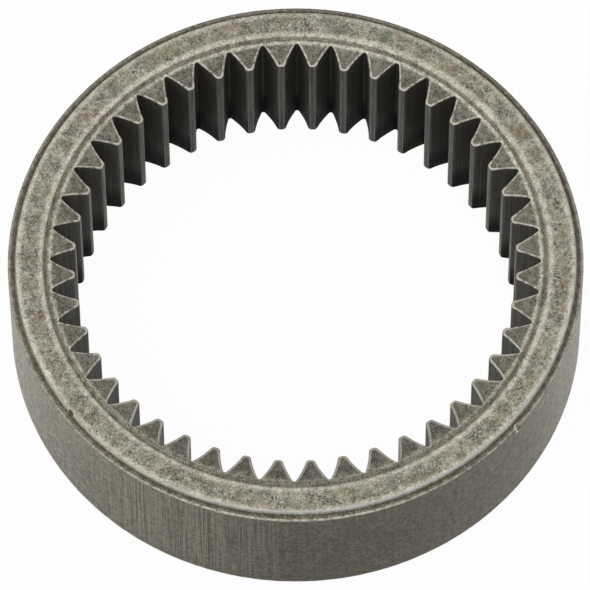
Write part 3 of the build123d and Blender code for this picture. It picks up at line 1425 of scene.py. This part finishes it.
@dataclass
class RingGear:
    """The whole gear: one closed mesh, in place of the CAD solid."""

    outer_radius: float
    height: float
    teeth: ToothForm = field(default_factory=ToothForm)
    name: str = "ring_gear_steel"
    node: str = "ring_gear"
    body: str = "root"
    slot: str = "sintered_steel"
    seed: float = 4.0
    wall_rows: tuple[float, ...] = (0.12, 0.45, 1.6, 8.6, 15.3, 16.3)
    edge_support: float = 0.04
    corner_wear: float = 0.6
    even_from: float = 29.4
    even_to: float = 32.2
    punched_reach: tuple[float, ...] = (32.4, 32.9, 33.35, 33.6)
    flank_reach: tuple[float, float] = (26.5, 27.1)
    edge_rows: tuple[tuple[float, float, float], ...] = (
        (0.0, 0.05, 0.35),
        (math.pi / 4, 0.25, 0.95),
        (math.pi / 2, 0.6, 1.0),
    )  # turn of the edge, and how rubbed it is there on the tips and on the flanks
    face_slack: float = 0.005
    top_step: float = 0.65
    net_reaches: tuple[float, ...] = (2.2, 1.9, 1.6, 1.4)
    net_size: float = 0.09
    join_distance: float = 2e-6
    burr_size: float = 0.9

    def ends(self) -> tuple[EndForm, EndForm]:
        """Gives both ends of the ring.

        Returns:
            The upper and the lower end.
        """
        rim = ((0.12, 1.0), (0.29, 0.0))
        upper = EndForm(
            face=self.height,
            out=1,
            relief=0.46,
            rings=UPPER_RINGS,
            face_steps=(0.30, 0.62, 0.86),
            rubbed_rim=rim,
        )
        lower = EndForm(
            face=0.0,
            out=-1,
            relief=0.62,
            rings=LOWER_RINGS,
            face_steps=(0.4, 0.8),
            rubbed_rim=rim[1:],
            rubbing=0.12,
            edge_round=0.13,
        )
        return upper, lower

    def end_rows(self, end: EndForm, outline: Outline) -> list[Row]:
        """Lays rows from the wall of the hollow over one end to the outer wall.

        Args:
            end: Form of the end.
            outline: Edge of the hollow.

        Returns:
            The rows, from the hollow outwards.
        """
        rows: list[Row] = []
        width = len(outline.points)

        def add(polar: Polar, sink: Any, zones: list[Zone], wear: Any, slack: Any) -> None:
            """Adds one row from polar places.

            Args:
                polar: Radii and angles of its points.
                sink: How far they lie below the band.
                zones: Zones up to the next row.
                wear: How rubbed they are.
                slack: How uneven they are.
            """
            radius, angle = polar
            z = np.broadcast_to(end.face - end.out * sink, radius.shape)
            points = np.stack([radius * np.cos(angle), radius * np.sin(angle), z], 1)
            rows.append(Row(points, zones, wear * np.ones(width), slack * np.ones(width)))

        def around(offset: float) -> Polar:
            """Polar places at a distance from the outline, into the metal."""
            x, y = (outline.points + outline.outward * offset).T
            return np.hypot(x, y), np.arctan2(y, x)

        face = [Zone.TOOTH_END] * (width - 1)
        start = around(0.0)
        sink = end.sink(start[0], self.teeth) + end.edge_round + self.edge_support
        add(start, sink, outline.zones, self.corner_wear * outline.corner, 0.0)
        flank = np.interp(start[0], self.flank_reach, (0.0, 1.0))
        for turn, tip, side in self.edge_rows:
            polar = around(end.edge_round * (1 - math.cos(turn)))
            sink = end.sink(polar[0], self.teeth) + end.edge_round * (1 - math.sin(turn))
            wear = (tip + (side - tip) * flank) * end.rubbing
            add(polar, sink, face, wear, end.edge_slack)
        for offset, wear in end.rubbed_rim:
            near, angle = around(end.edge_round + offset)
            add((near, angle), end.sink(near, self.teeth), face, wear * end.rubbing, 0.0)
        first = end.rings[0].radius
        for share in end.face_steps:
            radius = near + (first - near) * share
            add((radius, angle), end.sink(radius, self.teeth), face, 0.0, self.face_slack)

        even = np.linspace(-self.teeth.half_pitch, self.teeth.half_pitch, width)
        for ring in end.rings:
            share = (ring.radius - self.even_from) / (self.even_to - self.even_from)
            share = min(1.0, max(0.0, share))
            share = share * share * (3 - 2 * share)
            polar = (np.full(width, ring.radius), angle + (even - angle) * share)
            add(polar, ring.sink, [ring.zone] * (width - 1), ring.wear, ring.slack)
        return rows

    def section_rows(self) -> list[Row]:
        """Lays all rows of one pitch, round the whole section and back to the start.

        Returns:
            The rows. The last one is followed by the first.
        """
        outline = self.teeth.outline()
        upper, lower = self.ends()
        top, bottom = self.end_rows(upper, outline), self.end_rows(lower, outline)
        width = len(outline.points)
        wall: list[Row] = []
        corner = top[-1]
        corner.zones = [Zone.OUTER_WALL] * (width - 1)
        wear = np.zeros(width)
        for drop in self.wall_rows:
            points = corner.points.copy()
            points[:, 2] -= drop
            wall.append(Row(points, corner.zones, wear, wear))
        bottom = bottom[::-1]
        for row, following in zip(bottom, bottom[1:]):
            row.zones = following.zones
        bottom[-1].zones = outline.zones
        hollow: list[Row] = []
        for share in (1 / 3, 2 / 3):
            points = bottom[-1].points * (1 - share) + top[0].points * share
            hollow.append(Row(points, outline.zones, self.corner_wear * outline.corner, wear))
        return top + wall + bottom + hollow

    def pitch_mesh(self) -> bpy.types.Mesh:
        """Builds the mesh of one pitch, with its zones and attributes.

        Returns:
            The mesh, in metres, open where the next pitches follow.
        """
        rows = self.section_rows()
        width = len(rows[0].points)
        faces: list[tuple[int, int, int, int]] = []
        zones: list[int] = []
        for index, row in enumerate(rows):
            start, following = index * width, (index + 1) % len(rows) * width
            for column in range(width - 1):
                a, b = start + column, following + column
                faces.append((a, b, b + 1, a + 1))
                zones.append(row.zones[column].value)
        mesh = bpy.data.meshes.new("tooth_pitch")
        vertices = np.concatenate([row.points for row in rows]) * MM
        mesh.from_pydata(vertices.tolist(), [], faces)
        mesh.attributes.new("zone", "INT", "FACE").data.foreach_set("value", zones)
        wear = np.concatenate([row.wear for row in rows])
        slack = np.concatenate([row.slack for row in rows]) * MM
        none = np.zeros(len(wear))
        # One attribute holds the painted shade that blows leave in their hollows; it starts at
        # nought.
        fields = {"edge_wear": wear, "press_slack": slack, "blow_shade": none, "lip": none}
        for name, values in fields.items():
            attribute = mesh.attributes.new(name, "FLOAT", "POINT")
            attribute.data.foreach_set("value", values.astype(np.float32))
        return mesh

    def ring_tree(self, materials: dict[Zone, bpy.types.Material]) -> bpy.types.NodeTree:
        """Builds the Geometry Nodes tree that sets the pitches round the axis.

        Args:
            materials: Material of each zone.

        Returns:
            The tree.
        """
        tree = bpy.data.node_groups.new("teeth_round_the_axis", "GeometryNodeTree")
        face = tree.interface
        face.new_socket("Geometry", in_out="INPUT", socket_type="NodeSocketGeometry")
        for label, kind in (
            ("Tooth Count", "NodeSocketInt"),
            ("Join Distance", "NodeSocketFloat"),
            ("Burr Size", "NodeSocketFloat"),
            ("Seed", "NodeSocketFloat"),
        ):
            face.new_socket(label, in_out="INPUT", socket_type=kind)
        face.new_socket("Geometry", in_out="OUTPUT", socket_type="NodeSocketGeometry")
        bench = Bench(tree)
        given = bench.add("NodeGroupInput").outputs

        points = bench.add("GeometryNodePoints", {"Count": given["Tooth Count"]})
        index = bench.add("GeometryNodeInputIndex").outputs[0]
        angle = bench.times(index, bench.math("DIVIDE", math.tau, given["Tooth Count"]))
        euler = bench.add("ShaderNodeCombineXYZ", {"Z": angle}).outputs[0]
        turn = bench.add("FunctionNodeEulerToRotation", {"Euler": euler}).outputs[0]
        setting = {"Points": points.outputs[0], "Instance": given["Geometry"], "Rotation": turn}
        copies = bench.add("GeometryNodeInstanceOnPoints", setting)
        whole = bench.add("GeometryNodeRealizeInstances", {"Geometry": copies.outputs[0]})
        joining = {"Geometry": whole.outputs[0], "Distance": given["Join Distance"]}
        joined = bench.add("GeometryNodeMergeByDistance", joining)

        where = bench.add("GeometryNodeInputPosition").outputs[0]
        size = bench.math("DIVIDE", 1.0, given["Burr Size"])
        pattern = {"Vector": where, "W": given["Seed"], "Scale": size, "Detail": 3.0}
        rough = bench.add("ShaderNodeTexNoise", pattern, noise_dimensions="4D").outputs[0]
        swing = bench.times_plus(rough, 4.0, -2.0)
        amount = bench.times(swing, bench.named("press_slack", "FLOAT"))
        normal = bench.add("GeometryNodeInputNormal").outputs[0]
        moving = {"Geometry": joined.outputs[0], "Offset": bench.scaled(normal, amount)}
        geometry = bench.add("GeometryNodeSetPosition", moving).outputs[0]

        zone = bench.named("zone", "INT")
        for kind, material in materials.items():
            match = bench.add("FunctionNodeCompare", data_type="INT", operation="EQUAL")
            bench.feed(bench.at(match.inputs, "A_INT"), zone)
            bench.feed(bench.at(match.inputs, "B_INT"), kind.value)
            dressing = {"Geometry": geometry, "Selection": match.outputs[0], "Material": material}
            geometry = bench.add("GeometryNodeSetMaterial", dressing).outputs[0]
        bench.feed(bench.add("NodeGroupOutput").inputs[0], geometry)
        return tree

    def build(self) -> bpy.types.Object:
        """Builds the gear, dresses it and hands it to the frame.

        Returns:
            The finished piece.
        """
        materials = {zone: finish.material() for zone, finish in FINISHES.items()}
        pitch = stand("tooth_pitch", self.pitch_mesh())
        modifier = pitch.modifiers.new("teeth_round_the_axis", "NODES")
        modifier.node_group = self.ring_tree(materials)
        values = {
            "Tooth Count": self.teeth.count,
            "Join Distance": self.join_distance,
            "Burr Size": self.burr_size * MM,
            "Seed": self.seed,
        }
        for item in modifier.node_group.interface.items_tree:
            if item.in_out == "INPUT" and item.name in values:
                modifier[item.identifier] = values[item.name]
        mesh = self.applied(pitch)
        pitch.modifiers.clear()
        bpy.data.objects.remove(pitch)
        LOG.info("rim and teeth: %d pitches, %d faces", self.teeth.count, len(mesh.polygons))

        self.offset_punch(mesh)
        self.strike(mesh)
        gear = stand(self.name, mesh)
        self.smooth(gear)
        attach(gear, self.body)
        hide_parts(self.node)
        triangles = sum(len(face.vertices) - 2 for face in gear.data.polygons)
        LOG.info("%s: %d triangles", gear.name, triangles)
        return gear

    @staticmethod
    def applied(piece: bpy.types.Object) -> bpy.types.Mesh:
        """Turns a piece and its modifiers into a plain mesh."""
        graph = bpy.context.evaluated_depsgraph_get()
        return bpy.data.meshes.new_from_object(piece.evaluated_get(graph), depsgraph=graph)

    def offset_punch(self, mesh: bpy.types.Mesh) -> None:
        """Moves the band's outer edge and the foot of the step to where the punch stood.

        Args:
            mesh: The gear's mesh, which is changed.
        """
        points = places(mesh)
        radius = np.hypot(points[:, 0], points[:, 1]) / MM
        angle = np.arctan2(points[:, 1], points[:, 0])
        share = np.interp(radius, self.punched_reach, (0.0, 1.0, 1.0, 0.0))
        share *= points[:, 2] / MM > self.height / 2
        moved = share * (PUNCH.growth + PUNCH.shift * np.cos(angle - math.radians(PUNCH.side)))
        points[:, :2] *= (1 + moved / radius)[:, None]
        move(mesh, points)

    def blows(self) -> tuple[Damage, ...]:
        """Gives the two blows at the upper end.

        Returns:
            The dent in the wall's corner and the nick in the band's shoulder.
        """
        wall_top = self.height - self.top_step
        dent = Damage(
            "dent",
            turn=math.radians(-39.5),
            radius=self.outer_radius,
            height=wall_top - 0.10,
            reach=(0.48, 0.95, 0.50),
            push=(-0.11, -0.05),
            lip=(0.01, 0.02),
            side=1.0,
            edge=0.12,
            darkness=0.10,
            shine=0.8,
        )
        nick = Damage(
            "nick",
            turn=math.radians(-142.4),
            radius=33.26,
            height=self.height - 0.22,
            reach=(0.52, 0.62, 0.46),
            push=(-0.06, -0.05),
            lip=(0.0, 0.02),
            darkness=1.3,
            shine=0.0,
        )
        return dent, nick

    def strike(self, mesh: bpy.types.Mesh) -> None:
        """Works the blows into the mesh, on a finer net where each one landed.

        Args:
            mesh: The gear's mesh, which is changed.
        """
        for blow in self.blows():
            self.refine(mesh, blow)
            points = places(mesh) / MM
            hollow, rim = blow.marks(points)
            kept = np.clip(1 - 2 * hollow, 0, 1)
            # The hollow's share becomes painted shade, and the lip's share becomes bare metal.
            shares = {"blow_shade": hollow * blow.darkness, "lip": rim * blow.shine, "edge_wear": 0}
            for name, share in shares.items():
                values = np.zeros(len(points), np.float32)
                mesh.attributes[name].data.foreach_get("value", values)
                values = np.clip(np.maximum(values * kept, share), 0, 1)
                mesh.attributes[name].data.foreach_set("value", values.astype(np.float32))
            move(mesh, blow.strike(points) * MM)
            LOG.info("%s: %d points moved", blow.name, np.count_nonzero(hollow))

    def refine(self, mesh: bpy.types.Mesh, blow: Damage) -> None:
        """Makes the net finer round a blow, in steps that halve its longer edges.

        Args:
            mesh: The gear's mesh, which is changed.
            blow: The blow.
        """
        for reach in self.net_reaches:
            pairs = np.zeros(len(mesh.edges) * 2, np.int32)
            mesh.edges.foreach_get("vertices", pairs)
            ends = places(mesh)[pairs].reshape(-1, 2, 3) / MM
            lengths = np.linalg.norm(ends[:, 0] - ends[:, 1], axis=1)
            share = blow.local(ends.mean(1))[1]
            near = np.nonzero((share < reach) & (lengths > self.net_size))[0].tolist()
            shape = bmesh.new()
            shape.from_mesh(mesh)
            shape.edges.ensure_lookup_table()
            chosen = [shape.edges[index] for index in near]
            bmesh.ops.subdivide_edges(shape, edges=chosen, cuts=1, use_grid_fill=True)
            shape.to_mesh(mesh)
            shape.free()

    def smooth(self, gear: bpy.types.Object) -> None:
        """Shades the gear smoothly, with normals that lean on its larger faces.

        Args:
            gear: The piece, whose mesh is replaced.
        """
        gear.data.shade_smooth()
        modifier = gear.modifiers.new("lean_on_faces", "WEIGHTED_NORMAL")
        modifier.keep_sharp = False
        smoothed = self.applied(gear)
        gear.modifiers.clear()
        rough = gear.data
        gear.data = smoothed
        bpy.data.meshes.remove(rough)


# ---------------------------------------------------------------- studio


@dataclass(frozen=True)
class Softbox:
    """Square lamp with a soft edge, aimed at the gear."""

    name: str
    place: tuple[float, float, float]
    size: float
    power: float
    tint: tuple[float, float, float] = (1.0, 1.0, 1.0)

    def build(self, aim: Vector) -> None:
        """Hangs the lamp.

        Args:
            aim: Where it points.
        """
        lamp = bpy.data.lights.new(self.name, "AREA")
        lamp.shape = "SQUARE"
        lamp.size = self.size
        lamp.energy = self.power
        lamp.color = self.tint
        holder = stand(self.name, lamp)
        holder.location = self.place
        holder.rotation_euler = (aim - Vector(self.place)).to_track_quat("-Z", "Y").to_euler()


@dataclass(frozen=True)
class Studio:
    """Pale floor, even surroundings and soft lamps."""

    floor_size: float = 8.0
    floor_colour: Colour = (0.93, 0.93, 0.92, 1.0)
    floor_drop: float = 0.00002
    shown_white: float = 0.96
    surround: float = 0.62
    lamps: tuple[Softbox, ...] = (
        Softbox("softbox_above", place=(-0.2, -0.45, 1.6), size=2.2, power=9.0),
        Softbox("softbox_left", place=(-1.3, -0.5, 0.8), size=1.1, power=8.0),
    )

    @staticmethod
    def seen(bench: Bench) -> Socket:
        """Tells rays that look at the background from rays that carry its light.

        Args:
            bench: The tree of a material or of the world.

        Returns:
            1 for camera, glossy and transmission rays, 0 for the others.
        """
        path = bench.add("ShaderNodeLightPath").outputs
        looking = bench.most(path["Is Camera Ray"], path["Is Glossy Ray"])
        return bench.most(looking, path["Is Transmission Ray"])

    def floor_material(self) -> bpy.types.Material:
        """Builds the floor's material: pale, nearly white to look at, and clear from below.

        Returns:
            The material.
        """
        made = bpy.data.materials.new("pale_floor")
        bench = Bench(emptied(made))
        matt = bench.add("ShaderNodeBsdfDiffuse", {"Color": self.floor_colour}).outputs[0]
        white = bench.add("ShaderNodeEmission", {"Strength": 1.0}).outputs[0]
        share = bench.times(self.seen(bench), self.shown_white)
        lit = bench.add("ShaderNodeMixShader", {"Fac": share})
        below = bench.add("ShaderNodeNewGeometry").outputs["Backfacing"]
        shown = bench.add("ShaderNodeMixShader", {"Fac": below})
        clear = bench.add("ShaderNodeBsdfTransparent").outputs[0]
        for mix, shaders in ((lit, (matt, white)), (shown, (lit.outputs[0], clear))):
            for socket, shader in zip(mix.inputs[1:], shaders):
                bench.feed(socket, shader)
        bench.feed(bench.add("ShaderNodeOutputMaterial").inputs["Surface"], shown.outputs[0])
        return made

    def build(self, low: Vector, aim: Vector) -> None:
        """Lays the floor, lights the surroundings and hangs the lamps.

        Args:
            low: Lowest corner of the gear's box.
            aim: Middle of the gear.
        """
        half, z = self.floor_size / 2, low.z - self.floor_drop
        corners = [(-half, -half, z), (half, -half, z), (half, half, z), (-half, half, z)]
        mesh = bpy.data.meshes.new("floor")
        mesh.from_pydata(corners, [], [(0, 1, 2, 3)])
        mesh.materials.append(self.floor_material())
        stand("floor", mesh)

        world = bpy.data.worlds.new("studio")
        bench = Bench(emptied(world))
        strength = bench.rise(self.seen(bench), 0.0, 1.0, self.surround, 1.0)
        sky = {"Color": (1.0, 1.0, 1.0, 1.0), "Strength": strength}
        air = bench.add("ShaderNodeBackground", sky)
        bench.feed(bench.add("ShaderNodeOutputWorld").inputs["Surface"], air.outputs[0])
        bpy.context.scene.world = world
        for lamp in self.lamps:
            lamp.build(aim)
        LOG.info("studio: floor and %d lamps", len(self.lamps))


@dataclass(frozen=True)
class StudioCamera:
    """Camera that looks down at the gear from its front."""

    elevation: float = 1.10510
    turn: float = math.radians(0.576)
    roll: float = -0.00535
    distance: float = 1.00033
    focal_length: float = 511.75
    side_step: float = -0.000097
    lift: float = -0.000351

    def build(self, aim: Vector) -> None:
        """Sets the camera up.

        Args:
            aim: Middle of the gear.
        """
        forward = Vector((0.0, math.cos(self.elevation), -math.sin(self.elevation)))
        level, upright = Vector((1.0, 0.0, 0.0)), Vector((0.0, -forward.z, forward.y))
        cos, sin = math.cos(self.roll), math.sin(self.roll)
        right, up = cos * level + sin * upright, cos * upright - sin * level
        place = aim - forward * self.distance + level * self.side_step + upright * self.lift
        axes = Matrix((right, up, -forward)).transposed().to_4x4()
        data = bpy.data.cameras.new("studio_camera")
        data.lens = self.focal_length
        data.sensor_width = 36.0
        camera = stand("studio_camera", data)
        camera.matrix_world = Matrix.Rotation(self.turn, 4, "Z") @ Matrix.Translation(place) @ axes
        bpy.context.scene.camera = camera


def main() -> None:
    """Builds the gear, the studio and the camera."""
    logging.basicConfig(level=logging.INFO, format="%(name)s: %(message)s")
    scene = bpy.context.scene
    scene.view_settings.view_transform = "Standard"
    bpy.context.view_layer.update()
    low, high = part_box("ring_gear")
    middle = (low + high) / 2
    gear = RingGear(outer_radius=(high.x - low.x) / 2 / MM, height=(high.z - low.z) / MM)
    gear.build()
    Studio().build(low, middle)
    StudioCamera().build(middle)


if __name__ == "__main__":
    main()
